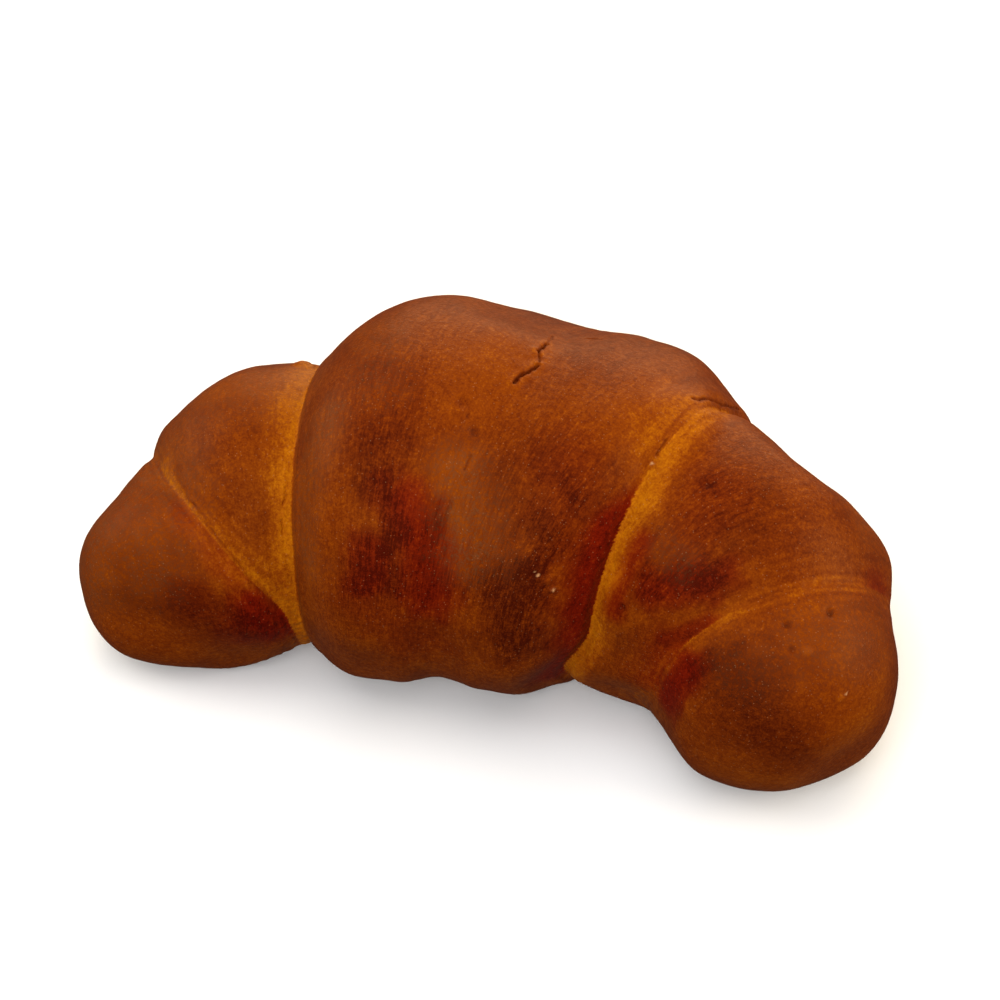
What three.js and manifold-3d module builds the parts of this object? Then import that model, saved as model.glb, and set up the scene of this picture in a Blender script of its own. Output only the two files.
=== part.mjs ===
// A crescent roll of soft butter dough, lying on its flat baked base with its horns towards -Y.
// One triangle of dough is rolled up from its wide side and bent. Each turn that shows is one swollen wrap,
// and the wraps are proved and baked into a single loaf.
// Millimetres, +Z up. X runs from horn to horn, and the origin is under the middle of the loaf's box.
import * as THREE from "three";
import { mergeVertices } from "three/addons/utils/BufferGeometryUtils.js";
import Module from "manifold-3d";

// The crescent's spine, seen from above, is part of an ellipse. Distances along it start at its middle.
const SPINE_MIDDLE = { x: -4.3, y: 2.9 };
const SPINE_HALF_SPAN = 64; // the ellipse's semi-axis along X
const SPINE_RISE = 47; // its semi-axis along Y
const SPINE_STEP = 0.25; // mm between the places it is walked at

// from, at, to: distance along the spine of a wrap's left end, of its widest place and of its right end.
// fromSlant, toSlant: how far each end runs ahead, for each mm from the spine towards the outer side.
// wide: half width. tall: height over the base. blunt: how full the ends are.
// out: shift away from the crescent's hollow. turn: degrees turned about the wrap's own middle.
const WRAPS = {
  leftHorn: {
    from: -73.5, at: -56, to: -37, fromSlant: -0.1, toSlant: -0.33,
    wide: 20, tall: 37, blunt: 2.9, out: -4.5, turn: 16,
  },
  leftWrap: {
    from: -60.5, at: -39, to: -17, fromSlant: 0.16, toSlant: 0,
    wide: 24.3, tall: 48, blunt: 2.7, out: 1.6, turn: -6,
  },
  leftHeart: {
    from: -37, at: -11, to: 19, fromSlant: 0.32, toSlant: 0.2,
    wide: 35.8, tall: 61, blunt: 2.9, out: -0.3, turn: 0,
  },
  rightHeart: {
    from: -16, at: 14, to: 38, fromSlant: 0.24, toSlant: 0.04,
    wide: 35, tall: 58.5, blunt: 3.6, out: 0.3, turn: -3,
  },
  rightWrap: {
    from: 8, at: 38, to: 67, fromSlant: 0.3, toSlant: 0.01,
    wide: 25.5, tall: 53, blunt: 3, out: 4.9, turn: 0,
  },
  rightHorn: {
    from: 36.5, at: 61, to: 81, fromSlant: 0.08, toSlant: -0.18,
    wide: 21.5, tall: 42.5, blunt: 2.2, out: 3.3, turn: 1,
  },
};

// Where the dough swelled or sagged while it proved. Each push fades out smoothly over its reach.
const PUSHES = [
  { at: [-62, -31, 6], by: [0, -2.4, 0], reach: 16 },
  { at: [-40, -31, 8], by: [0, 2.6, 0], reach: 13 },
  { at: [-22, -34, 15], by: [0, 2, 0], reach: 14 },
  { at: [11, -34, 9], by: [0, 2, 0], reach: 14 },
  { at: [23, -28, 8], by: [-7.5, -0.5, 0], reach: 20 },
  { at: [32, -29, 9], by: [0, 3.4, 0], reach: 13 },
  { at: [-2, 26, 52], by: [0, -1.6, -2.2], reach: 18 },
  { at: [25, 29, 44], by: [0.4, 1.5, 0.5], reach: 16 },
  { at: [37, 22, 44], by: [-0.8, -1, -0.5], reach: 12 },
  { at: [52, 13, 42], by: [-0.9, -1.6, -1.4], reach: 14 },
  { at: [67, 2, 28], by: [2, 1.2, 0], reach: 13 },
  { at: [69, -33, 14], by: [-1, 1.9, 0], reach: 14 },
  { at: [45, -33, 12], by: [-1.6, 0.2, 0], reach: 14 },
  { at: [-64, -8, 30], by: [-0.3, 2, 2], reach: 12 },
  { at: [-60, 5, 37], by: [0.8, -0.4, -0.4], reach: 13 },
];

// Cracks follow the skin from place to place. The first parts the two middle wraps near the crown.
// The second is the short crease behind the right wrap.
const CRACKS = [
  [[3.3, 18.8, 54], [3.2, 14.2, 56.4], [2.4, 11.3, 57.5], [3.3, 8.5, 58], [2, 5.5, 58.2], [0.2, 1.8, 58.4]],
  [[36.8, 22.1, 39.8], [34.7, 15.7, 47.1], [32.6, 13.3, 50.5], [30.2, 10.2, 53]],
];
const CRACK_HALF_WIDTH = 0.9;
const CRACK_OVERLAP = 1.25; // length of each piece of a crack, as a share of the gap it spans

// Burst bubbles in the crust of the right horn.
const PITS = [[61.4, -20.2, 40.6], [54.8, -25, 41.3], [56.5, -28.5, 39.3]];
const PIT_RADIUS = 1;

const AROUND = 52; // facets around a wrap's girth
const ALONG = 28; // rings from one end of a wrap to the other
const GIRTH_SHARE = 0.44; // height of a wrap's widest girth, as a share of its whole height
const CROWN_POWER = 2.05; // squareness of its section above that girth
const FOOT_POWER = 2.6; // and below it
const END_POWER = 2.1; // roundness of its two ends
const BASE_SINK = 1.6; // how far the round underside is pressed flat on the tray
const MARK_AROUND = 10; // facets of a pit or of a piece of a crack
const MARK_ALONG = 8;
const TRAY = { side: 400, thick: 60 };
const MERGE_DISTANCE = 1e-4;

// Turns from the spine's middle towards +X, one small step apart. The -X side is their mirror.
const spineTurns = [0];
while (spineTurns[spineTurns.length - 1] < Math.PI) {
  const turn = spineTurns[spineTurns.length - 1];
  const speed = Math.hypot(SPINE_HALF_SPAN * Math.cos(turn), SPINE_RISE * Math.sin(turn));
  spineTurns.push(turn + SPINE_STEP / speed);
}

// Place and heading on the spine, at a distance along it.
function spineAt(distance) {
  const place = Math.abs(distance) / SPINE_STEP;
  const step = Math.floor(place);
  const turn = THREE.MathUtils.lerp(spineTurns[step], spineTurns[step + 1], place - step);
  const angle = Math.sign(distance) * turn;
  return {
    x: SPINE_MIDDLE.x + SPINE_HALF_SPAN * Math.sin(angle),
    y: SPINE_MIDDLE.y + SPINE_RISE * (Math.cos(angle) - 1),
    heading: Math.atan2(-SPINE_RISE * Math.sin(angle), SPINE_HALF_SPAN * Math.cos(angle)),
  };
}

// A place beside the spine, seen from above. A positive side is the crescent's outer side.
function besideSpine(distance, side) {
  const here = spineAt(distance);
  return new THREE.Vector2(here.x - Math.sin(here.heading) * side, here.y + Math.cos(here.heading) * side);
}

// The sum of the pushes that reach a place on the skin.
function pushAt(spot) {
  const total = new THREE.Vector3();
  for (const { at, by, reach } of PUSHES) {
    const distance = spot.distanceTo(new THREE.Vector3(...at));
    const fade = THREE.MathUtils.smoothstep(reach - distance, 0, reach);
    total.addScaledVector(new THREE.Vector3(...by), fade);
  }
  return total;
}

// One wrap as a closed skin: a ball whose poles lie along the spine, squared off a little and bent along it.
function wrapGeometry(wrap) {
  const ball = new THREE.SphereGeometry(1, AROUND, ALONG);
  const places = ball.getAttribute("position");
  const girthHeight = GIRTH_SHARE * wrap.tall;
  const middle = besideSpine(wrap.at, wrap.out);
  const spot = new THREE.Vector3();
  for (let i = 0; i < places.count; i++) {
    spot.fromBufferAttribute(places, i);
    const along = spot.y;
    const around = Math.atan2(spot.z, -spot.x);
    const outward = Math.cos(around);
    const upward = Math.sin(around);
    const swell = Math.pow(Math.max(0, 1 - Math.pow(Math.abs(along), wrap.blunt)), 1 / END_POWER);
    const power = upward >= 0 ? CROWN_POWER : FOOT_POWER;
    const corner = Math.pow(Math.abs(outward), power) + Math.pow(Math.abs(upward), power);
    const reach = swell * Math.pow(corner, -1 / power);
    const side = wrap.wide * reach * outward;
    const halfHeight = upward >= 0 ? wrap.tall - girthHeight : girthHeight + BASE_SINK;
    const halfLength = along >= 0 ? wrap.to - wrap.at : wrap.at - wrap.from;
    const slant = THREE.MathUtils.lerp(wrap.fromSlant, wrap.toSlant, (along + 1) / 2);
    const plan = besideSpine(wrap.at + along * halfLength + slant * side, side + wrap.out);
    plan.rotateAround(middle, THREE.MathUtils.degToRad(wrap.turn));
    spot.set(plan.x, plan.y, girthHeight + halfHeight * reach * upward);
    spot.add(pushAt(spot));
    places.setXYZ(i, spot.x, spot.y, spot.z);
  }
  return ball;
}

// One piece of a crack, a slender ball that spans the gap between two of its places.
function crackGeometry(start, end) {
  const gap = new THREE.Vector3().subVectors(end, start);
  const heading = gap.clone().normalize();
  const turned = new THREE.Quaternion().setFromUnitVectors(new THREE.Vector3(0, 1, 0), heading);
  const middle = new THREE.Vector3().addVectors(start, end).multiplyScalar(0.5);
  return new THREE.SphereGeometry(1, MARK_AROUND, MARK_ALONG)
    .scale(CRACK_HALF_WIDTH, (gap.length() / 2) * CRACK_OVERLAP, CRACK_HALF_WIDTH)
    .applyQuaternion(turned)
    .translate(middle.x, middle.y, middle.z);
}

const wasm = await Module();
wasm.setup();

function solidOf(geometry) {
  geometry.deleteAttribute("normal");
  geometry.deleteAttribute("uv");
  const skin = mergeVertices(geometry, MERGE_DISTANCE);
  return new wasm.Manifold(
    new wasm.Mesh({
      numProp: 3,
      vertProperties: new Float32Array(skin.getAttribute("position").array),
      triVerts: new Uint32Array(skin.index.array),
    }),
  );
}

function geometryOf(solid) {
  const skin = solid.getMesh();
  return new THREE.BufferGeometry()
    .setAttribute("position", new THREE.BufferAttribute(skin.vertProperties, 3))
    .setIndex(new THREE.BufferAttribute(skin.triVerts, 1));
}

const [firstSkin, ...laterSkins] = Object.values(WRAPS).map(wrapGeometry);
let loaf = solidOf(firstSkin);
for (const skin of laterSkins) loaf = loaf.add(solidOf(skin));

// The tray keeps the base flat.
const tray = new THREE.BoxGeometry(TRAY.side, TRAY.side, TRAY.thick).translate(0, 0, -TRAY.thick / 2);
loaf = loaf.subtract(solidOf(tray));

for (const crack of CRACKS) {
  const spots = crack.map((spot) => new THREE.Vector3(...spot));
  for (let i = 1; i < spots.length; i++) loaf = loaf.subtract(solidOf(crackGeometry(spots[i - 1], spots[i])));
}
for (const pit of PITS) {
  const bubble = new THREE.SphereGeometry(PIT_RADIUS, MARK_AROUND, MARK_ALONG).translate(...pit);
  loaf = loaf.subtract(solidOf(bubble));
}

const crust = new THREE.MeshStandardMaterial({ color: 0x9a5a1e, roughness: 0.5, metalness: 0 });
const croissant = new THREE.Mesh(geometryOf(loaf), crust);
croissant.name = "croissant";

const group = new THREE.Group();
group.add(croissant);
export default group;
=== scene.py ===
import math
import bpy
import numpy as np
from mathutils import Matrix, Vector, noise
from mathutils.bvhtree import BVHTree


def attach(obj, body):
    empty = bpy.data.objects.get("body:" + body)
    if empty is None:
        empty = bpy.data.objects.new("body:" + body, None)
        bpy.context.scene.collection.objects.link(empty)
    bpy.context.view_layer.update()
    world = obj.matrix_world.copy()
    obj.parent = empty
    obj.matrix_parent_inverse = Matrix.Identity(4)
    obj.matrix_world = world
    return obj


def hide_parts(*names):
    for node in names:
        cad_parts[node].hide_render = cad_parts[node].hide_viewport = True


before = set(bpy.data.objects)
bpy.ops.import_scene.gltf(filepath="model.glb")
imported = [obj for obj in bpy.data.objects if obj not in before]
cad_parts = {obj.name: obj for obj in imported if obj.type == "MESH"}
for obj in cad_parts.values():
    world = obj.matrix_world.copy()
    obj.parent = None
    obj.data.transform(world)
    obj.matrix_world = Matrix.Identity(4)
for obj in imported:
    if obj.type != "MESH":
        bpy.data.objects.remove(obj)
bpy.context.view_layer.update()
mm = 0.001

# The crescent's spine, seen from above, is part of an ellipse. Its sizes are in mm.
spine = {
    "middle": (-4.3, 2.9),
    "halfSpan": 64,
    "rise": 47,
    "steps": 4000,  # places it is walked through
}

# Each turn of the roll that shows, in mm. from, at, to: left end, widest place and right end, on the spine.
# fromSlant, toSlant: how far each end runs ahead, for each mm towards the outer side. wide: half width.
# tall: height. blunt: how full the ends are. out: shift away from the hollow. turn: degrees about its middle.
wraps = {
    "leftHorn": {
        "from": -73.5, "at": -56, "to": -37, "fromSlant": -0.1, "toSlant": -0.33,
        "wide": 20, "tall": 37, "blunt": 2.9, "out": -4.5, "turn": 16,
    },
    "leftWrap": {
        "from": -60.5, "at": -39, "to": -17, "fromSlant": 0.16, "toSlant": 0,
        "wide": 24.3, "tall": 48, "blunt": 2.7, "out": 1.6, "turn": -6,
    },
    "leftHeart": {
        "from": -37, "at": -11, "to": 19, "fromSlant": 0.32, "toSlant": 0.2,
        "wide": 35.8, "tall": 61, "blunt": 2.9, "out": -0.3, "turn": 0,
    },
    "rightHeart": {
        "from": -16, "at": 14, "to": 38, "fromSlant": 0.24, "toSlant": 0.04,
        "wide": 35, "tall": 58.5, "blunt": 3.6, "out": 0.3, "turn": -3,
    },
    "rightWrap": {
        "from": 8, "at": 38, "to": 67, "fromSlant": 0.3, "toSlant": 0.01,
        "wide": 25.5, "tall": 53, "blunt": 3, "out": 4.9, "turn": 0,
    },
    "rightHorn": {
        "from": 36.5, "at": 61, "to": 81, "fromSlant": 0.08, "toSlant": -0.18,
        "wide": 21.5, "tall": 42.5, "blunt": 2.2, "out": 3.3, "turn": 1,
    },
}

pushes = [  # where the dough swelled or sagged: place, push and reach
    ((-62, -31, 6), (0, -2.4, 0), 16),
    ((-40, -31, 8), (0, 2.6, 0), 13),
    ((-22, -34, 15), (0, 2, 0), 14),
    ((11, -34, 9), (0, 2, 0), 14),
    ((23, -28, 8), (-7.5, -0.5, 0), 20),
    ((32, -29, 9), (0, 3.4, 0), 13),
    ((-2, 26, 52), (0, -1.6, -2.2), 18),
    ((25, 29, 44), (0.4, 1.5, 0.5), 16),
    ((37, 22, 44), (-0.8, -1, -0.5), 12),
    ((52, 13, 42), (-0.9, -1.6, -1.4), 14),
    ((67, 2, 28), (2, 1.2, 0), 13),
    ((69, -33, 14), (-1, 1.9, 0), 14),
    ((45, -33, 12), (-1.6, 0.2, 0), 14),
    ((-64, -8, 30), (-0.3, 2, 2), 12),
    ((-60, 5, 37), (0.8, -0.4, -0.4), 13),
]

dough = {
    "segments": 160,
    "rings": 96,
    "girthShare": 0.44,  # height of a wrap's widest girth, as a share of its height
    "crownPower": 2.05,  # squareness of its section above that girth
    "footPower": 2.6,  # and below it
    "endPower": 2.1,  # roundness of its ends
    "baseSink": 1.6,  # mm of the round underside that are pressed flat
    "voxel": 0.78 * mm,
    "smoothing": 5,
    "farthest": 20,  # mm, how far from a wrap its skin is still looked for
}


def smoothStep(t):
    t = np.clip(t, 0, 1)
    return t * t * (3 - 2 * t)


def hump(away, at, wide):
    # 1 where away is at, and nearly 0 twice as far off as it is wide
    return np.exp(-(((away - at) / wide) ** 2))


def within(places, place, reach, edge):
    # 1 at a place, fading to 0 at edge times its reach
    return smoothStep(edge - np.linalg.norm(places - place, axis=1) / reach)


# Walks the ellipse once, so that a distance along it gives a place and a heading.
turns = np.linspace(0, math.pi, spine["steps"])
speeds = np.hypot(spine["halfSpan"] * np.cos(turns), spine["rise"] * np.sin(turns))
walked = np.concatenate([[0], np.cumsum((speeds[1:] + speeds[:-1]) / 2 * np.diff(turns))])


def besideSpine(distance, side):
    angle = np.sign(distance) * np.interp(np.abs(distance), walked, turns)
    heading = np.arctan2(-spine["rise"] * np.sin(angle), spine["halfSpan"] * np.cos(angle))
    x = spine["middle"][0] + spine["halfSpan"] * np.sin(angle) - np.sin(heading) * side
    y = spine["middle"][1] + spine["rise"] * (np.cos(angle) - 1) + np.cos(heading) * side
    return x, y


def readPlaces(obj):
    flat = np.empty(len(obj.data.vertices) * 3, np.float32)
    obj.data.vertices.foreach_get("co", flat)
    return flat.reshape(-1, 3).astype(float) / mm


def readNormals(obj):
    flat = np.empty(len(obj.data.vertices) * 3, np.float32)
    obj.data.vertices.foreach_get("normal", flat)
    return flat.reshape(-1, 3).astype(float)


def writePlaces(obj, places):
    places[:, 2] = np.maximum(places[:, 2], 0)  # pressed flat where it lies
    obj.data.vertices.foreach_set("co", (places * mm).astype(np.float32).ravel())
    obj.data.update()


def makeWrap(name, wrap):
    bpy.ops.mesh.primitive_uv_sphere_add(segments=dough["segments"], ring_count=dough["rings"], radius=mm)
    ball = bpy.context.object
    ball.name = name
    places = readPlaces(ball)
    along = places[:, 2]
    around = np.arctan2(places[:, 1], places[:, 0])
    outward, upward = np.cos(around), np.sin(around)
    swell = np.clip(1 - np.abs(along) ** wrap["blunt"], 0, None) ** (1 / dough["endPower"])
    power = np.where(upward >= 0, dough["crownPower"], dough["footPower"])
    reach = swell * (np.abs(outward) ** power + np.abs(upward) ** power) ** (-1 / power)
    side = wrap["wide"] * reach * outward
    girthHeight = dough["girthShare"] * wrap["tall"]
    halfHeight = np.where(upward >= 0, wrap["tall"] - girthHeight, girthHeight + dough["baseSink"])
    halfLength = np.where(along >= 0, wrap["to"] - wrap["at"], wrap["at"] - wrap["from"])
    slant = wrap["fromSlant"] + (wrap["toSlant"] - wrap["fromSlant"]) * (along + 1) / 2
    x, y = besideSpine(wrap["at"] + along * halfLength + slant * side, side + wrap["out"])
    middleX, middleY = besideSpine(wrap["at"], wrap["out"])
    turn = math.radians(wrap["turn"])
    places[:, 0] = middleX + (x - middleX) * math.cos(turn) - (y - middleY) * math.sin(turn)
    places[:, 1] = middleY + (x - middleX) * math.sin(turn) + (y - middleY) * math.cos(turn)
    places[:, 2] = girthHeight + halfHeight * reach * upward
    total = np.zeros_like(places)
    for at, by, reachOfPush in pushes:
        distance = np.linalg.norm(places - at, axis=1)
        total += smoothStep(1 - distance / reachOfPush)[:, None] * np.array(by)
    writePlaces(ball, places + total)
    return ball


def applyModifier(obj, kind, **settings):
    bpy.context.view_layer.objects.active = obj
    modifier = obj.modifiers.new(kind.title(), kind)
    for key, value in settings.items():
        setattr(modifier, key, value)
    bpy.ops.object.modifier_apply(modifier=modifier.name)


def makeLoaf():
    bpy.ops.object.select_all(action="DESELECT")
    balls = [makeWrap(name, wrap) for name, wrap in wraps.items()]
    skins = []
    for ball in balls:
        polygons = [tuple(face.vertices) for face in ball.data.polygons]
        skins.append(BVHTree.FromPolygons([v.co.copy() for v in ball.data.vertices], polygons))
    for ball in balls:
        ball.select_set(True)
    bpy.context.view_layer.objects.active = balls[0]
    bpy.ops.object.join()
    loaf = bpy.context.object
    loaf.name = "crust"
    loaf.data.name = "crust"
    bpy.ops.object.mode_set(mode="EDIT")
    bpy.ops.mesh.select_all(action="SELECT")
    bpy.ops.mesh.remove_doubles(threshold=1e-6)
    bpy.ops.mesh.normals_make_consistent(inside=False)
    bpy.ops.object.mode_set(mode="OBJECT")
    applyModifier(loaf, "REMESH", mode="VOXEL", voxel_size=dough["voxel"])
    applyModifier(loaf, "SMOOTH", factor=0.5, iterations=dough["smoothing"])
    print("loaf", len(loaf.data.vertices), "vertices")
    return loaf, skins


loaf, skins = makeLoaf()
names = list(wraps)
middle = [names.index("leftHeart"), names.index("rightHeart")]

# How gently one wrap runs into the next, in mm. The two middle ones have nearly grown together.
joins = {
    ("leftHorn", "leftWrap"): 2.2,
    ("leftWrap", "leftHeart"): 1.8,
    ("leftHeart", "rightHeart"): 3,
    ("rightHeart", "rightWrap"): 1.6,
    ("rightWrap", "rightHorn"): 3.5,
}
otherJoin = 2
healed = [((29, 4, 53), 9, 9)]  # where a seam has baked shut: place, reach and join, in mm
healedEdge = 1.5
shortestLean = 0.1


def measure(places):
    # the signed distance of each place from each wrap's skin, in mm, and the skin's normal there
    distances = np.full((len(places), len(skins)), float(dough["farthest"]))
    normals = np.zeros((len(places), len(skins), 3))
    for i, place in enumerate(places * mm):
        place = Vector(place)
        for j, skin in enumerate(skins):
            spot, normal, index, distance = skin.find_nearest(place, dough["farthest"] * mm)
            if spot is not None:
                distances[i, j] = math.copysign(distance / mm, (place - spot).dot(normal))
                normals[i, j] = normal
    return distances, normals


def settle(places):
    # moves each place onto the skin that the wraps share, with its seams filled as far as joins says
    distances, normals = measure(places)
    rows = np.arange(len(places))
    owner = distances.argmin(axis=1)
    nearest = distances[rows, owner]
    fill = np.zeros(len(places))
    lean = normals[rows, owner].copy()
    for j, other in enumerate(names):
        wanted = [joins.get((mine, other), joins.get((other, mine), otherJoin)) for mine in names]
        join = np.array(wanted)[owner]
        for place, reach, wide in healed:
            join = join + within(places, place, reach, healedEdge) * np.maximum(wide - join, 0)
        closeness = np.clip(1 - (distances[:, j] - nearest) / join, 0, 1) * (owner != j)
        more = join * closeness**2 / 4
        better = more > fill
        fill[better] = more[better]
        share = (closeness / 2)[:, None]
        lean[better] = (normals[rows, owner] * (1 - share) + normals[:, j] * share)[better]
    length = np.linalg.norm(lean, axis=1, keepdims=True)
    return places - lean / np.maximum(length, shortestLean) * (nearest - fill)[:, None]


# Cracks and creases: half width, depth and the places they run through, in mm.
cracks = [
    (0.11, 0.2, [(3.3, 18.8, 54), (3.4, 17, 55), (3.2, 14.2, 56.4)]),
    (0.2, 0.55, [(3.2, 14.2, 56.4), (2.8, 12.3, 57.1), (2.4, 11.3, 57.5)]),
    (0.12, 0.35, [(2.4, 11.3, 57.5), (3, 9.6, 57.7), (3.3, 8.5, 58)]),
    (0.21, 0.6, [
        (3.2, 7.5, 58.1), (2.6, 6.5, 58.2), (2, 5.5, 58.2),
        (1.3, 4.9, 58.2), (0.7, 3.9, 58.4), (0.3, 2.4, 58.4),
    ]),
    (0.2, 0.35, [(30, 9.6, 53.3), (30.9, 10.2, 52.4), (32, 12, 51.4)]),
    (0.15, 0.25, [(32, 12, 51.4), (33.5, 14.2, 49), (34.7, 15.7, 47.1), (36.8, 22.1, 39.8)]),
    (0.13, 0.2, [(-3.6, -12.8, 55.1), (-4.3, -15, 53.8)]),
    (0.12, 0.15, [(-5.3, -19.5, 51.2), (-5, -21, 50.2)]),
    (0.13, 0.3, [(-36.1, -17.5, 43), (-35.7, -18.6, 42), (-35.9, -19.9, 40.9)]),
    (0.12, 0.25, [(-35.7, -21.7, 39), (-35.1, -23.2, 36.7)]),
    (0.12, 0.2, [(-52, -21, 38), (-47, -25, 36), (-42, -28, 32), (-38, -29, 27)]),
    (0.14, 0.3, [(26.6, -3.4, 52.8), (27.5, -0.6, 53.5)]),
    (0.3, 0.2, [(8.5, 20.5, 53.5), (11.5, 21, 53)]),
    (0.3, 0.2, [(38, 17, 46), (36, 14.5, 49)]),
]

# Small dents, burst bubbles and blisters: place, radius and how far the skin is pushed out, in mm.
bumps = [
    ((61.4, -20.2, 40.6), 1.0, -0.7),
    ((54.8, -25, 41.3), 1.0, -0.5),
    ((56.5, -28.5, 39.3), 0.8, -0.4),
    ((59, -28, 39), 1.1, 0.25),
    ((66, -31, 32), 0.9, 0.2),
    ((-7, -5, 59), 1.3, -0.35),
    ((-4, -9, 57), 1.2, -0.3),
    ((-5.5, -7, 58.5), 0.7, -0.2),
    ((-13, -27, 47), 1.0, -0.3),
    ((-16, -23, 52), 0.8, -0.25),
    ((13, -26, 42), 1.0, 0.3),
    ((12, -27, 43), 0.7, 0.25),
    ((11, -26.5, 43.5), 0.8, -0.3),
    ((14, -26, 40), 0.7, 0.55),
    ((37, -7, 52), 0.9, -0.2),
    ((26, -23, 35), 0.8, -0.3),
    ((-41, 11, 43), 2.2, 0.8),
    ((-6, 38, 36), 1.1, 0.3),
    ((11, 37, 28), 0.9, -0.3),
    ((-30, 27, 40), 1.2, 0.3),
    ((41, 23, 30), 0.9, 0.25),
    ((-50, 14, 26), 0.8, -0.3),
    ((72, -8, 20), 0.8, 0.3),
    ((4, 37, 44), 0.7, -0.3),
]


def onSkin(marks):
    return settle(settle(np.array(marks, float)))


def fromLine(places, start, end):
    line = end - start
    share = np.clip((places - start) @ line / max(line @ line, 1e-6), 0, 1)
    return np.linalg.norm(places - start - share[:, None] * line, axis=1)


def fromPath(places, path):
    return np.min([fromLine(places, start, end) for start, end in zip(path[:-1], path[1:])], axis=0)


def refine(obj, chosen):
    # splits the faces whose corners are all chosen, so that fine relief has room
    faces = np.array([all(chosen[v] for v in face.vertices) for face in obj.data.polygons])
    obj.data.polygons.foreach_set("select", faces)
    bpy.ops.object.mode_set(mode="EDIT")
    bpy.ops.mesh.select_mode(type="FACE")
    bpy.ops.mesh.subdivide(number_cuts=1)
    bpy.ops.mesh.select_all(action="DESELECT")
    bpy.ops.object.mode_set(mode="OBJECT")


def seamNearness(distances):
    # how much nearer its own wrap's skin is than the next one's, in mm
    nearest = np.sort(distances, axis=1)
    return nearest[:, 1] - nearest[:, 0]


cracks = [(half, depth, onSkin(path)) for half, depth, path in cracks]
bumpSpots = onSkin([place for place, radius, push in bumps])
bumps = [(spot, radius, push) for spot, (place, radius, push) in zip(bumpSpots, bumps)]

# Where the mesh is split for fine relief: how near to each kind of mark, in mm.
finer = {
    "seam": 2.2,
    "middleSeam": 3,  # this one is shallow, and isn't split
    "overBase": 4,
    "crack": 2.6,
    "tornEdge": 1.2,  # split once more
    "bump": 2,  # times its radius
}

places = settle(readPlaces(loaf))
writePlaces(loaf, places)
distances, normals = measure(places)
owner = distances.argmin(axis=1)
nearness = seamNearness(distances)
middleGap = np.abs(distances[:, middle[0]] - distances[:, middle[1]])
atMiddleSeam = (nearness < finer["middleSeam"]) & np.isin(owner, middle) & (middleGap < finer["middleSeam"])
fine = (nearness < finer["seam"]) & ~atMiddleSeam & (places[:, 2] > finer["overBase"])
for half, depth, path in cracks:
    fine |= fromPath(places, path) < finer["crack"]
for place, radius, push in bumps:
    fine |= np.linalg.norm(places - place, axis=1) < radius * finer["bump"]
refine(loaf, fine)
places = readPlaces(loaf)
torn = np.zeros(len(places), bool)
for half, depth, path in cracks:
    torn |= fromPath(places, path) < finer["tornEdge"]
refine(loaf, torn)
places = settle(readPlaces(loaf))
writePlaces(loaf, places)
applyModifier(loaf, "SMOOTH", factor=0.3, iterations=2)
places = readPlaces(loaf)
distances, normals = measure(places)
owner = distances.argmin(axis=1)
print("settled", len(places), "vertices")


def lead(mine, other):
    # on mine's side of a seam, the distance from it in mm, and far away elsewhere
    i, j = names.index(mine), names.index(other)
    return np.where(owner == i, distances[:, j] - distances[:, i], 99)


rolled = {
    "reach": 95,  # mm along the spine, each way
    "steps": 760,
    "batch": 4000,
    "heart": 22,  # height in mm of the line the dough is rolled round
    "girth": 28,  # mm of skin to each radian round it
    "slant": 0.2,
    "streakEnd": 66,  # streaks have faded out at this distance along the spine
    "streakFade": 16,
    "streakHeart": 12,
}


# Distance along the spine, around the girth and from its heart, in mm, for marks that follow the roll.
def rollPlaces(places):
    steps = np.linspace(-rolled["reach"], rolled["reach"], rolled["steps"])
    spineX, spineY = besideSpine(steps, np.zeros_like(steps))
    roll = np.zeros_like(places)
    for start in range(0, len(places), rolled["batch"]):
        batch = slice(start, start + rolled["batch"])
        part = places[batch]
        away = (part[:, :1] - spineX) ** 2 + (part[:, 1:2] - spineY) ** 2
        nearest = away.argmin(axis=1)
        angle = np.sign(steps[nearest]) * np.interp(np.abs(steps[nearest]), walked, turns)
        heading = np.arctan2(-spine["rise"] * np.sin(angle), spine["halfSpan"] * np.cos(angle))
        awayX, awayY = part[:, 0] - spineX[nearest], part[:, 1] - spineY[nearest]
        side = awayY * np.cos(heading) - awayX * np.sin(heading)
        up = part[:, 2] - rolled["heart"]
        roll[batch, 0] = steps[nearest] - rolled["slant"] * side
        roll[batch, 1] = np.arctan2(up, side) * rolled["girth"]
        roll[batch, 2] = np.hypot(up, side)
    return roll


roll = rollPlaces(places)

relief = {
    "swell": (24, 0.35),  # size and height, in mm
    "lump": (7, 0.14),
    "dimple": (2.6, 0.035),
    "crinkle": (1.1, 0.12),  # on the lips of the seams
    "crinkleReach": 4,
    "crinkleAt": 0.5,
    "crinkleFade": 2.5,
    "wrinkle": (1.3, 12, 6, 0.16),  # size across the roll, around it and outwards, and height
    "leastWrinkle": 0.1,
    "lipWide": 1.4,
    "ragSize": 0.9,  # of the uneven edges of cracks and bumps
    "crackEdge": 1.3,
    "crackWide": 1.6,
    "crackLip": 0.2,  # height of a crack's lips, as a share of its depth
    "crackLipAt": 0.4,
    "crackLipWide": 0.5,
    "bumpEdge": 1.2,
    "bumpRag": 0.35,
}

seeds = {
    "wrinkle": 5,
    "rag": 7,
    "crinkle": 9,
    "stroke": 11,
    "strokeRoll": 12,
    "stria": 21,
    # seed for the uneven edges of the painted sheen
    "paintedSheen": 31,
    "crumb": 41,
}

# Where the skin is wrinkled: sides of seams, how far from them in mm, and how strongly.
wrinkled = [
    ([("leftHorn", "leftWrap"), ("leftWrap", "leftHorn")], 9, 1),
    ([("leftWrap", "leftHeart")], 5, 0.8),
    ([("rightWrap", "rightHeart")], 6, 0.8),
]

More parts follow.
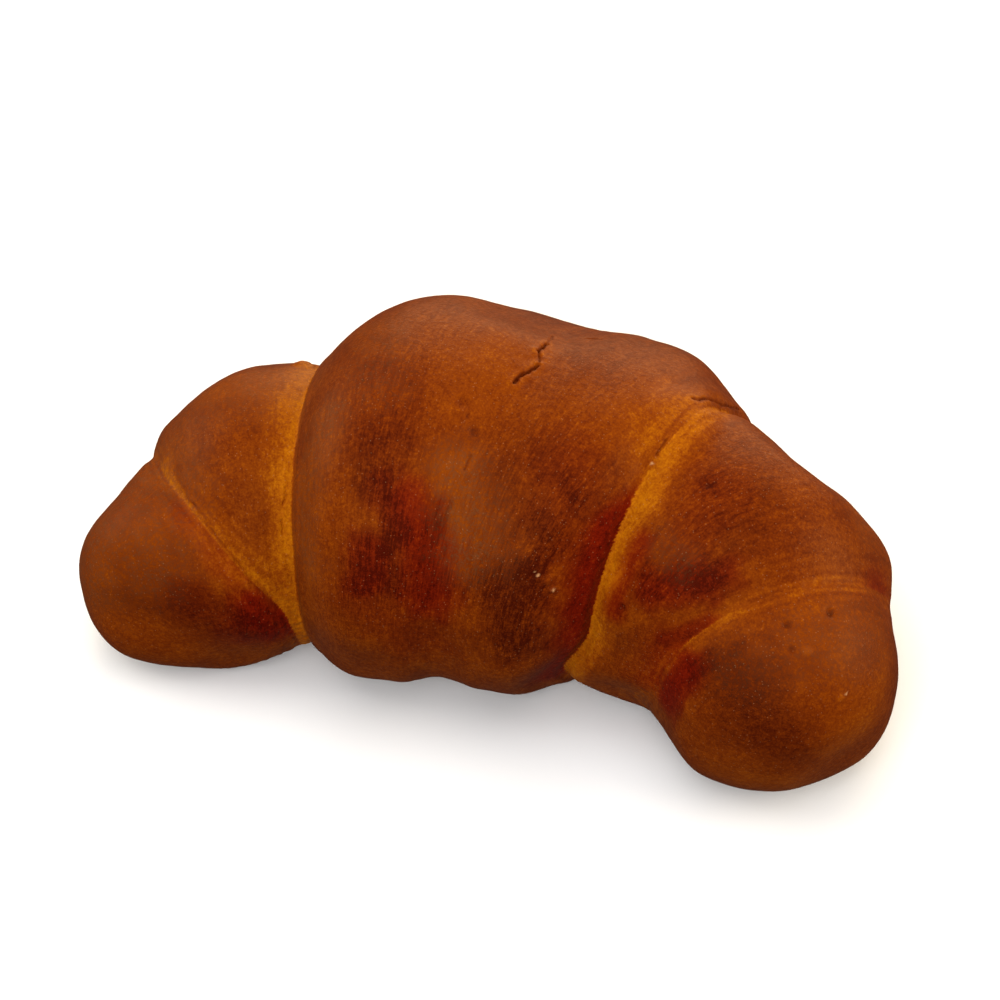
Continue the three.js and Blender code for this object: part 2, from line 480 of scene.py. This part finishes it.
# A seam's side: height of the lip and how far from the seam it is, then depth and width of the groove, in mm.
edges = {
    ("leftHorn", "leftWrap"): (0.15, 2, 0.25, 0.8),
    ("leftWrap", "leftHorn"): (0.2, 2, 0.2, 0.8),
    ("leftWrap", "leftHeart"): (0, 2, 0.3, 0.9),
    ("leftHeart", "leftWrap"): (0.35, 2.2, 0.2, 0.6),
    ("leftHeart", "rightHeart"): (0.25, 4, 0.45, 1.7),
    ("rightHeart", "leftHeart"): (0.25, 5, 0.45, 1.7),
    ("rightHeart", "rightWrap"): (0.5, 2.2, 0.3, 0.5),
    ("rightWrap", "rightHeart"): (0.1, 3, 0.5, 1.1),
    ("rightWrap", "rightHorn"): (0, 2, 0.15, 1),
    ("rightHorn", "rightWrap"): (0.2, 2.5, 0.15, 1),
}


def noiseAt(spots, size, seed):
    shift = Vector((seed * 17.3, seed * 5.1, seed * 9.7))
    return np.array([noise.noise(Vector(spot) + shift) for spot in spots / size])


def reliefHeights(places, roll):
    height = np.zeros(len(places))
    for seed, key in enumerate(("swell", "lump", "dimple")):
        size, tall = relief[key]
        height += tall * noiseAt(places, size, seed)
    *sizes, tall = relief["wrinkle"]
    lines = noiseAt(roll / sizes, 1, seeds["wrinkle"])
    nearSeam = np.zeros(len(places))
    for sides, reach, share in wrinkled:
        away = np.min([lead(*side) for side in sides], axis=0)
        nearSeam += hump(away, 0, reach) * share
    height += tall * lines * np.clip(nearSeam, relief["leastWrinkle"], 1)
    seams = np.zeros(len(places))
    size, tall = relief["crinkle"]
    for (mine, other), (lip, lipAt, groove, grooveWide) in edges.items():
        away = lead(mine, other)
        seams += lip * hump(away, lipAt, relief["lipWide"]) - groove * hump(away, 0, grooveWide)
        near = away < relief["crinkleReach"]
        fade = np.exp(-((away[near] - relief["crinkleAt"]) ** 2) / relief["crinkleFade"])
        seams[near] += tall * noiseAt(places[near], size, seeds["crinkle"]) * fade
    for place, reach, wide in healed:
        seams *= 1 - within(places, place, reach, healedEdge)
    height += seams
    ragged = noiseAt(places, relief["ragSize"], seeds["rag"])
    for half, depth, path in cracks:
        away = fromPath(places, path)
        wide = half * (relief["crackWide"] + relief["crackWide"] * ragged)
        height -= depth * smoothStep(relief["crackEdge"] - away / wide)
        lip = hump(away - 2 * half, relief["crackLipAt"], relief["crackLipWide"])
        height += relief["crackLip"] * depth * lip
    for place, radius, push in bumps:
        away = np.linalg.norm(places - place, axis=1) * (1 + relief["bumpRag"] * ragged)
        height += push * smoothStep(relief["bumpEdge"] - away / radius)
    return height


writePlaces(loaf, places + readNormals(loaf) * reliefHeights(places, roll)[:, None])
print("relief done")

# bakeAndShade: how far the crust has browned, with painted shade in cracks and beside seams added, from 0,
# pale, to 1, nearly burnt. ruddy: how red the brown is.
bakeAndShadeRules = {
    "crown": 0.45,
    "foot": 0.48,
    "footHeight": 16,
    "base": 0.45,
    "baseHeight": 0.3,
    "stria": 0.22,  # fine lines that run beside each seam
    "striaSize": (0.6, 12, 12),  # away from the seam, around the roll and outwards
    "striaReach": 5,
    # painted shade inside the cracks, and their paler torn lips
    "crack": 0.34,
    "crackEdge": 1.4,
    "crackWide": 1.7,
    "fullDepth": 1.5,  # the painted shade of a crack is at its darkest when its depth times this is 1
    "tornLip": 0.1,
    "tornLipAt": 0.5,
    "tornLipWide": 0.5,
    # how much darker dents and paler blisters are painted
    "pit": 0.2,
    "pitEdge": 1.2,
    "blotchRag": (3.5, 0.35),  # size and strength of the uneven edges of dark marks
    "rollRag": ((1.5, 9, 8), 0.25),
    "scorchAndShadeStep": 6,
    "scorchAndShadeBack": 2,  # mm of Y, where the scorches and their painted shade have faded out towards the back
    "scorchAndShadeFade": 10,
    "strokeEdge": 1.1,
    "strokeWide": 1.5,
    "palest": 0.1,
    "palestSoft": 0.08,
}

# The side of a seam that each wrap shows: how pale it is, and how far the paleness reaches, in mm.
seamSides = {
    ("leftHorn", "leftWrap"): (0.1, 2.5),
    ("leftWrap", "leftHorn"): (0.19, 2.5),
    ("leftWrap", "leftHeart"): (0.41, 2.7),
    ("leftHeart", "leftWrap"): (0.2, 0.8),
    ("rightHeart", "rightWrap"): (0.1, 1),
    ("rightWrap", "rightHeart"): (0.41, 2.1),
    ("rightWrap", "rightHorn"): (0.15, 2.5),
    ("rightHorn", "rightWrap"): (0.13, 3),
}

# Where the side of a seam is darker and redder, partly scorched and partly painted shade of the seam's
# hollow: its lowest and highest place, how far it reaches, how dark, how red.
scorchesAndShade = {
    ("rightHeart", "rightWrap"): (6, 53, 6, 0.26, 1.6),
    ("rightWrap", "rightHorn"): (16, 40, 4, 0.14, 0.6),
    ("leftHorn", "leftWrap"): (10, 27, 3.5, 0.2, 1),
}

# Darker or paler patches painted on each wrap, or on the middle two together: from, to and half width in mm,
# how much darker, and how much redder.
strokes = {
    "leftHorn": [
        ((-50, -33, 26), (-42, -32, 20), 5, 0.19, 0.2),
        ((-57, -32, 27), (-48, -33, 20), 6, 0.12, 0),
        ((-40, -30, 25), (-37, -29, 17), 3.5, 0.23, 1),
        ((-53, -23, 37), (-42, -29, 30), 3, 0, 0.5),
    ],
    "leftWrap": [
        ((-54, 6, 36), (-46, 13, 36), 6, 0.12, 0),
        ((-40, 6, 47), (-37, -16, 44), 4.5, -0.13, 0),
        ((-53, 3, 45), (-44, 0, 47), 6, -0.07, 0),
        ((-36, -16, 44), (-34, -25, 32), 2.5, -0.15, 0),
        ((-60, -13, 36), (-55, -22, 37), 2.2, -0.15, 0),
        ((-34, -26, 24), (-33, -26, 10), 2.8, -0.22, 0.2),
    ],
    "middle": [
        ((-12, 36, 40), (6, 35, 46), 9, 0.13, 0.1),
        ((17, 33, 38), (24, 27, 42), 6, 0.12, 0),
        ((-28, 26, 44), (-24, 32, 34), 5, 0.1, 0.2),
        ((-22, -4, 58), (-19, -14, 57), 7, 0.1, 0.1),
        ((-17, -29, 45), (-17, -32, 40), 4, 0.35, 0.7),
        ((-17, -21, 54), (-14, -27, 47), 2.5, 0.3, 0.4),
        ((-20, -20, 55), (-19, -15, 58), 4, 0.15, 0),
        ((-12, -23, 51.5), (-7, -29, 39), 4.8, 0.17, 0.8),
        ((-8, -26, 45), (-7, -30, 36), 5, 0.1, 0.8),
        ((-7, -21, 51), (-7, -25, 47), 1.5, 0.2, 0.5),
        ((-17, -33, 38), (-8, -32, 26), 6, 0.12, 0.2),
        ((-7, 0, 60), (-9, -13, 57), 7, -0.04, 0),
        ((-1, 10, 59), (-7, 0, 60), 6, -0.08, 0),
        ((-5, -18, 52), (3, -26, 45), 6, -0.08, 0),
        ((7, -29, 41), (9, -31, 31), 6, 0.35, 0),
        ((11, -21, 50), (14, -23, 48), 3, 0.2, 0),
        ((14, -14, 54), (15, -16, 53), 2, 0.2, 0),
        ((-18, -3, 60), (-17, -12, 59), 6, 0.05, 0),
        ((8, -8, 57), (12, -14, 55), 5, 0.06, 0),
        ((14, -12, 55), (18, -20, 47), 7, 0.12, 0.2),
        ((0, -17, 53), (4, -27, 44), 7, 0.13, 0),
        ((10, -27, 44), (13, -27, 40), 2.5, 0.2, 0),
        ((24, -2, 55), (28, 7, 54), 6, -0.22, 0),
    ],
    "rightWrap": [
        ((46, 17, 36), (54, 10, 32), 6, 0.13, 0.1),
        ((21, -22, 26), (17, -22, 11), 2.5, -0.28, 0.2),
        ((38, -8, 51), (36, -16, 47), 6, 0.1, 0.2),
        ((28, 0, 53), (27, -11, 50), 3, -0.18, 0),
        ((27, -11, 50), (23, -20, 39), 1.8, -0.25, 0),
        ((23, -20, 39), (17, -21, 11), 2, -0.22, 0.15),
        ((31, 7, 52), (28, -5, 52), 4, -0.1, 0),
        ((28, -16, 45), (25, -22, 33), 2.4, 0.1, 0.7),
        ((31, -23, 41), (39, -22, 45), 4, 0.35, 0.7),
        ((39, -22, 45), (43, -20, 46), 3, 0.25, 0.5),
        ((34, -27, 33), (42, -25, 38), 1.6, 0.25, 0.6),
        ((34, 2, 53), (46, -8, 52), 7, 0.06, 0),
        ((42, -13, 50), (53, -14, 48), 6, 0.1, 0.05),
        ((37, -7, 52), (38, -8, 52), 1.6, 0.15, 0),
        ((26, -23, 35), (26, -23, 34), 0.9, 0.25, 0),
    ],
    "rightHorn": [
        ((71, -12, 28), (72, -18, 22), 5, 0.1, 0),
        ((33, -28, 25), (39, -26, 35), 1.8, -0.1, 0),
        ((39, -26, 35), (48, -22, 42), 2, -0.1, 0),
        ((36, -31, 22), (40, -30, 31), 3.5, 0.35, 1),
        ((48, -34, 33), (57, -38, 25), 7.5, 0.25, 0),
        ((45, -31, 36), (52, -34, 34), 5, 0.12, 0),
        ((68, -32, 24), (71, -26, 27), 6, -0.12, 0),
        ((50, -38, 14), (60, -38, 12), 6, -0.1, 0),
    ],
}


def addAttribute(obj, name, values):
    vector = values.ndim == 2
    attribute = obj.data.attributes.new(name, "FLOAT_VECTOR" if vector else "FLOAT", "POINT")
    attribute.data.foreach_set("vector" if vector else "value", values.astype(np.float32).ravel())


def paintBakeAndShade(places):
    bakeAndShade = np.full(len(places), bakeAndShadeRules["crown"])
    low = smoothStep(1 - places[:, 2] / bakeAndShadeRules["footHeight"])
    bakeAndShade += low * (bakeAndShadeRules["foot"] - bakeAndShadeRules["crown"])
    bakeAndShade = np.where(places[:, 2] < bakeAndShadeRules["baseHeight"], bakeAndShadeRules["base"], bakeAndShade)
    striaReach = bakeAndShadeRules["striaReach"]
    for (mine, other), (pale, wide) in seamSides.items():
        away = lead(mine, other)
        bakeAndShade -= pale * np.exp(-away / wide)
        near = away < striaReach * 3
        spots = np.stack([away[near], roll[near, 1], roll[near, 2]], axis=1) / bakeAndShadeRules["striaSize"]
        lines = noiseAt(spots, 1, seeds["stria"])
        bakeAndShade[near] += bakeAndShadeRules["stria"] * lines * np.exp(-away[near] / striaReach)
    # cracks: painted shade inside them, and paler torn lips beside them
    for half, depth, path in cracks:
        away = fromPath(places, path)
        share = min(1, depth * bakeAndShadeRules["fullDepth"])
        inside = smoothStep(bakeAndShadeRules["crackEdge"] - away / (half * bakeAndShadeRules["crackWide"]))
        bakeAndShade += bakeAndShadeRules["crack"] * inside * share
        lip = hump(away - 2 * half, bakeAndShadeRules["tornLipAt"], bakeAndShadeRules["tornLipWide"])
        bakeAndShade -= bakeAndShadeRules["tornLip"] * lip * share
    # darker in dents and paler on blisters
    for place, radius, push in bumps:
        bakeAndShade -= math.copysign(bakeAndShadeRules["pit"], push) * within(places, place, radius, bakeAndShadeRules["pitEdge"])
    ruddy = np.zeros(len(places))
    size, share = bakeAndShadeRules["blotchRag"]
    ragged = 1 + share * noiseAt(places, size, seeds["stroke"])
    sizes, share = bakeAndShadeRules["rollRag"]
    ragged = ragged + share * noiseAt(roll / sizes, 1, seeds["strokeRoll"])
    step = bakeAndShadeRules["scorchAndShadeStep"]
    # scorches: partly browning, partly painted shade beside the seams
    for (mine, other), (low, high, wide, darker, redder) in scorchesAndShade.items():
        fade = np.exp(-((lead(mine, other) / wide) ** 2) * ragged)
        fade *= smoothStep((places[:, 2] - low) / step) * smoothStep((high - places[:, 2]) / step)
        fade *= smoothStep((bakeAndShadeRules["scorchAndShadeBack"] - places[:, 1]) / bakeAndShadeRules["scorchAndShadeFade"])
        bakeAndShade += darker * fade
        ruddy = np.maximum(ruddy, np.minimum(1, redder * fade))
    for name, marks in strokes.items():
        painted = np.isin(owner, middle) if name == "middle" else owner == names.index(name)
        for start, end, wide, darker, redder in marks:
            away = fromLine(places, *onSkin([start, end])) / (wide * bakeAndShadeRules["strokeWide"])
            fade = painted * smoothStep(bakeAndShadeRules["strokeEdge"] - away * ragged)
            bakeAndShade += darker * fade
            ruddy = np.maximum(ruddy, redder * fade)
    pale, soft = bakeAndShadeRules["palest"], bakeAndShadeRules["palestSoft"]
    bakeAndShade = pale + soft * np.logaddexp(0, (bakeAndShade - pale) / soft)
    return bakeAndShade, ruddy


crumbs = [  # flakes of dry crust: place and radius, in mm
    ((14, -26, 40), 0.3),
    ((12, -27, 43.5), 0.18),
    ((11, -26.4, 44), 0.15),
    ((33, -21, 43), 0.15),
    ((26.5, -5, 52.6), 0.2),
    ((66.5, -30, 32), 0.2),
]


# The uneven edges of crumbs and of the painted sheen: size in mm, strength, and where they end.
crumbEdge = {"size": 0.6, "rag": 0.9, "edge": 1.5}
paintedSheenEdge = {"size": 3, "rag": 0.3, "edge": 1.2, "wide": 1.6}


def paintCrumbs(places):
    crumb = np.zeros(len(places))
    ragged = 1 + crumbEdge["rag"] * noiseAt(places, crumbEdge["size"], seeds["crumb"])
    for place, radius in crumbs:
        away = np.linalg.norm(places - onSkin([place])[0], axis=1) * ragged
        crumb = np.maximum(crumb, smoothStep(crumbEdge["edge"] - away / radius))
    return crumb


# Where a hazy sheen, the reflection of the soft lights, is painted into the colour: from, to and half width
# in mm, and how strong.
paintedSheens = [
    ((-26, -9, 52), (-27, -26, 38), 4, 0.8),
    ((-22, -4, 56), (-24, 8, 54), 5, 0.5),
    ((-5, -15, 54), (-1, -25, 45), 4.5, 0.9),
    ((0, -19, 52), (3, -25, 46), 4, 0.5),
    ((32, -18, 47), (35, -20, 46), 3, 0.5),
    ((-67, -24, 22), (-62, -14, 34), 9, 0.9),
    ((-58, -28, 30), (-55, -16, 38), 7, 0.7),
    ((-56, -3, 42), (-42, 4, 47), 8, 0.7),
    ((48, -32, 36), (54, -30, 38), 5, 0.3),
    ((60, -26, 40), (68, -18, 34), 6, 0.5),
    ((62, 4, 36), (52, 12, 42), 6, 0.7),
]


# painted sheen: a lighter haze painted where the soft lights would be reflected
def paintSheenPatches(places):
    paintedSheen = np.zeros(len(places))
    ragged = 1 + paintedSheenEdge["rag"] * noiseAt(places, paintedSheenEdge["size"], seeds["paintedSheen"])
    for start, end, wide, share in paintedSheens:
        away = fromLine(places, *onSkin([start, end])) / (wide * paintedSheenEdge["wide"])
        paintedSheen = np.maximum(paintedSheen, share * smoothStep(paintedSheenEdge["edge"] - away * ragged))
    return paintedSheen


def paintStreaky(roll):
    # where streaks may show: not on the tips of the horns, nor near the heart of the roll
    towardsTip = (rolled["streakEnd"] - np.abs(roll[:, 0])) / rolled["streakFade"]
    return smoothStep(towardsTip) * smoothStep(roll[:, 2] / rolled["streakHeart"])


bakeAndShade, ruddy = paintBakeAndShade(places)
# the painted sheen is kept as an attribute for the crust's colour
addAttribute(loaf, "paintedSheen", paintSheenPatches(places))
addAttribute(loaf, "crumb", paintCrumbs(places))
addAttribute(loaf, "bakeAndShade", bakeAndShade)
addAttribute(loaf, "ruddy", ruddy)
addAttribute(loaf, "roll", roll * mm)
addAttribute(loaf, "streaky", paintStreaky(roll))
bpy.ops.object.shade_smooth()
print("browned")


def addNode(material, kind, **settings):
    node = material.node_tree.nodes.new(kind)
    for key, value in settings.items():
        if key in node.inputs:
            node.inputs[key].default_value = value
        else:
            setattr(node, key, value)
    return node


crustLook = {
    "roughness": 0.46,
    "roughnessSpread": 0.12,
    "specular": 0.08,
    "specularTint": (1, 0.75, 0.3, 1),
    "sheen": 0.015,
    "sheenRoughness": 0.5,
    "sheenTint": (1, 0.6, 0.25, 1),
    # bakeAndShade and the crust's colour there: the brown of most of it, and the red of the scorched places
    # and of the painted shade beside seams
    "brown": [
        (0.0, (0.4, 0.115, 0.0013)),
        (0.12, (0.315, 0.078, 0.001)),
        (0.3, (0.2, 0.035, 0.0008)),
        (0.5, (0.13, 0.018, 0.0007)),
        (0.75, (0.078, 0.0085, 0.0006)),
        (1.0, (0.042, 0.003, 0.0004)),
    ],
    "red": [
        (0.0, (0.3, 0.05, 0.001)),
        (0.5, (0.15, 0.0068, 0.0005)),
        (0.75, (0.105, 0.0035, 0.0004)),
        (1.0, (0.055, 0.0015, 0.0003)),
    ],
    # size in mm, strength in steps of bakeAndShade, and detail
    "blotch": (8, 0.07, 3),
    "mottle": (0.9, 0.16, 3),
    "grain": (0.36, 0.16, 2),
    "streak": (0.6, 0.27, 4),
    "streakStretch": (1, 0.22, 0.3),
    "contrast": (0.3, 0.7),  # the part of a noise's range that is used
    # from and to of bakeAndShade, then how strong the mottles and grain, or the streaks, are there
    "mottled": (0.35, 0.9, 0.5, 1.1),
    "streaked": (0.4, 0.8, 0.2, 1),
    "speckSpacing": 0.85,
    "speckSize": 0.15,
    "speckShare": 0.3,
    "speckColour": (0.42, 0.19, 0.08, 1),
    "paintedSheen": (0.09, 0.12, 0.14),  # share of the painted sheen, and how much the mottles and the grain change that
    # colour of the painted sheen
    "paintedSheenColour": (0.21, 0.1, 0.034, 1),
    "crumbColour": (0.42, 0.2, 0.08, 1),
    "bump": 0.5,
    "bumpDistance": 0.3 * mm,
    "bumpMottle": 0.5,
    "bumpGrain": 0.45,
    "bumpStreak": 0.3,
    "bumpSpeck": 0.5,
}


def crustMaterial():
    material = bpy.data.materials.new("bakedCrust")
    material.use_nodes = True
    links = material.node_tree.links
    shader = material.node_tree.nodes["Principled BSDF"]
    shader.inputs["Specular IOR Level"].default_value = crustLook["specular"]
    shader.inputs["Specular Tint"].default_value = crustLook["specularTint"]
    shader.inputs["Sheen Weight"].default_value = crustLook["sheen"]
    shader.inputs["Sheen Roughness"].default_value = crustLook["sheenRoughness"]
    shader.inputs["Sheen Tint"].default_value = crustLook["sheenTint"]
    where = addNode(material, "ShaderNodeTexCoord")

    def painted(name, output="Fac"):
        return addNode(material, "ShaderNodeAttribute", attribute_name=name).outputs[output]

    def mapped(value, low, high, toLow, toHigh):
        ends = {"From Min": low, "From Max": high, "To Min": toLow, "To Max": toHigh}
        node = addNode(material, "ShaderNodeMapRange", **ends)
        links.new(value, node.inputs["Value"])
        return node.outputs["Result"]

    def spread(texture, strength):
        # turns a texture's 0 to 1 into minus to plus strength
        return mapped(texture, *crustLook["contrast"], -strength, strength)

    def joined(operation, first, second):
        node = addNode(material, "ShaderNodeMath", operation=operation)
        for socket, value in zip(node.inputs, (first, second)):
            if isinstance(value, (int, float)):
                socket.default_value = value
            else:
                links.new(value, socket)
        return node.outputs["Value"]

    def speckle(name, place, **settings):
        size, strength, detail = crustLook[name]
        texture = addNode(material, "ShaderNodeTexNoise", Scale=1 / (size * mm), Detail=detail, **settings)
        links.new(place, texture.inputs["Vector"])
        return texture.outputs["Fac"], strength

    bakeAndShadeLevel = painted("bakeAndShade")
    blotch, blotchBy = speckle("blotch", where.outputs["Object"], Roughness=0.55)
    mottle, mottleBy = speckle("mottle", where.outputs["Object"], Roughness=0.55)
    grain, grainBy = speckle("grain", where.outputs["Object"], Roughness=0.55)
    stretched = addNode(material, "ShaderNodeMapping", Scale=crustLook["streakStretch"])
    links.new(painted("roll", "Vector"), stretched.inputs["Vector"])
    streak, streakBy = speckle("streak", stretched.outputs["Vector"], Roughness=0.6, Distortion=0.5)

    # the darker the crust, the stronger its mottles and streaks
    mottled = mapped(bakeAndShadeLevel, *crustLook["mottled"])
    streaked = joined("MULTIPLY", mapped(bakeAndShadeLevel, *crustLook["streaked"]), painted("streaky"))
    level = joined("ADD", bakeAndShadeLevel, spread(blotch, blotchBy))
    level = joined("ADD", level, joined("MULTIPLY", spread(mottle, mottleBy), mottled))
    level = joined("ADD", level, joined("MULTIPLY", spread(streak, streakBy), streaked))
    level = joined("ADD", level, joined("MULTIPLY", spread(grain, grainBy), mottled))

    def ramp(stops):
        node = addNode(material, "ShaderNodeValToRGB")
        while len(node.color_ramp.elements) < len(stops):
            node.color_ramp.elements.new(0.5)
        for stop, (place, colour) in zip(node.color_ramp.elements, stops):
            stop.position = place
            stop.color = (*colour, 1)
        links.new(level, node.inputs["Fac"])
        return node.outputs["Color"]

    def mixed(share, first, second):
        node = addNode(material, "ShaderNodeMix", data_type="RGBA")
        links.new(share, node.inputs[0])
        links.new(first, node.inputs[6])
        if isinstance(second, tuple):
            node.inputs[7].default_value = second
        else:
            links.new(second, node.inputs[7])
        return node.outputs[2]

    colour = mixed(painted("ruddy"), ramp(crustLook["brown"]), ramp(crustLook["red"]))

    # tiny pale blisters
    specks = addNode(material, "ShaderNodeTexVoronoi", Scale=1 / (crustLook["speckSpacing"] * mm))
    links.new(where.outputs["Object"], specks.inputs["Vector"])
    speckSize = crustLook["speckSize"]
    speck = mapped(specks.outputs["Distance"], speckSize, speckSize * 0.4, 0, crustLook["speckShare"])
    colour = mixed(speck, colour, crustLook["speckColour"])

    # painted sheen, the reflection of the soft lights, then crumbs
    paintedSheenBy, paintedSheenMottle, paintedSheenGrain = crustLook["paintedSheen"]
    paintedSheenShare = joined("ADD", joined("ADD", paintedSheenBy, spread(mottle, paintedSheenMottle)), spread(grain, paintedSheenGrain))
    colour = mixed(joined("MULTIPLY", painted("paintedSheen"), paintedSheenShare), colour, crustLook["paintedSheenColour"])
    colour = mixed(painted("crumb"), colour, crustLook["crumbColour"])
    links.new(colour, shader.inputs["Base Color"])

    rough, roughSpread = crustLook["roughness"], crustLook["roughnessSpread"]
    links.new(mapped(mottle, 0, 1, rough - roughSpread, rough + roughSpread), shader.inputs["Roughness"])
    heights = joined("MULTIPLY", mottle, crustLook["bumpMottle"])
    heights = joined("ADD", heights, joined("MULTIPLY", grain, crustLook["bumpGrain"]))
    heights = joined("ADD", heights, joined("MULTIPLY", streak, crustLook["bumpStreak"]))
    heights = joined("ADD", heights, joined("MULTIPLY", speck, crustLook["bumpSpeck"]))
    bump = addNode(material, "ShaderNodeBump", Strength=crustLook["bump"], Distance=crustLook["bumpDistance"])
    links.new(heights, bump.inputs["Height"])
    links.new(bump.outputs["Normal"], shader.inputs["Normal"])
    return material


loaf.data.materials.clear()
loaf.data.materials.append(crustMaterial())
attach(loaf, "root")
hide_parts("croissant")
print("crust material laid on")

studio = {
    "floorSize": 8,
    "floorColour": (0.9, 0.9, 0.9, 1),
    "floorRoughness": 0.9,
    "worldColour": (1, 1, 1, 1),
    "worldStrength": 0.06,
}

# Place and size in metres, power, colour, and whether it shows as a gloss, of each soft light.
lights = {
    "above": ((-0.05, -0.1, 1), 0.9, 7.5, (1, 1, 1), False),
    "front": ((0, -0.8, 0.45), 1, 9, (1, 1, 1), False),
    "left": ((-0.8, 0.1, 0.4), 0.7, 4, (1, 0.9, 0.75), True),
    "back": ((0, 0.85, 0.35), 0.9, 9, (1, 0.8, 0.48), True),
    "right": ((0.85, 0.15, 0.35), 0.6, 6, (1, 0.88, 0.7), True),
}


def addLight(name, place, size, power, colour, glossy):
    bpy.ops.object.light_add(type="AREA", location=place)
    light = bpy.context.object
    light.name = name
    light.data.size = size
    light.data.energy = power
    light.data.color = colour
    light.rotation_mode = "QUATERNION"
    light.rotation_quaternion = (-light.location).to_track_quat("-Z", "Y")
    light.visible_glossy = glossy


def makeStudio():
    bpy.ops.object.select_all(action="DESELECT")
    bpy.ops.mesh.primitive_plane_add(size=studio["floorSize"])
    floor = bpy.context.object
    floor.name = "floor"
    floor.visible_diffuse = False
    floor.visible_glossy = False
    material = bpy.data.materials.new("paleFloor")
    material.use_nodes = True
    shader = material.node_tree.nodes["Principled BSDF"]
    shader.inputs["Base Color"].default_value = studio["floorColour"]
    shader.inputs["Roughness"].default_value = studio["floorRoughness"]
    floor.data.materials.append(material)
    world = bpy.data.worlds.new("studio")
    world.use_nodes = True
    background = world.node_tree.nodes["Background"]
    background.inputs["Color"].default_value = studio["worldColour"]
    background.inputs["Strength"].default_value = studio["worldStrength"]
    bpy.context.scene.world = world
    for name, light in lights.items():
        addLight(name, *light)
    bpy.context.scene.view_settings.view_transform = "Standard"


# Where the picture is taken from: degrees round and above the target, and metres from it.
lens = {
    "azimuth": 14,
    "elevation": 50,
    "distance": 0.6,
    "focal": 118,
    "target": (-0.0031, 0.0058, 0.022),
}


def makeCamera():
    azimuth, elevation = math.radians(lens["azimuth"]), math.radians(lens["elevation"])
    back = Vector((
        math.sin(azimuth) * math.cos(elevation),
        -math.cos(azimuth) * math.cos(elevation),
        math.sin(elevation),
    ))
    bpy.ops.object.camera_add(location=Vector(lens["target"]) + back * lens["distance"])
    camera = bpy.context.object
    camera.rotation_mode = "QUATERNION"
    camera.rotation_quaternion = (-back).to_track_quat("-Z", "Y")
    camera.data.lens = lens["focal"]
    bpy.context.scene.camera = camera


makeStudio()
makeCamera()
print("studio lit, camera placed")
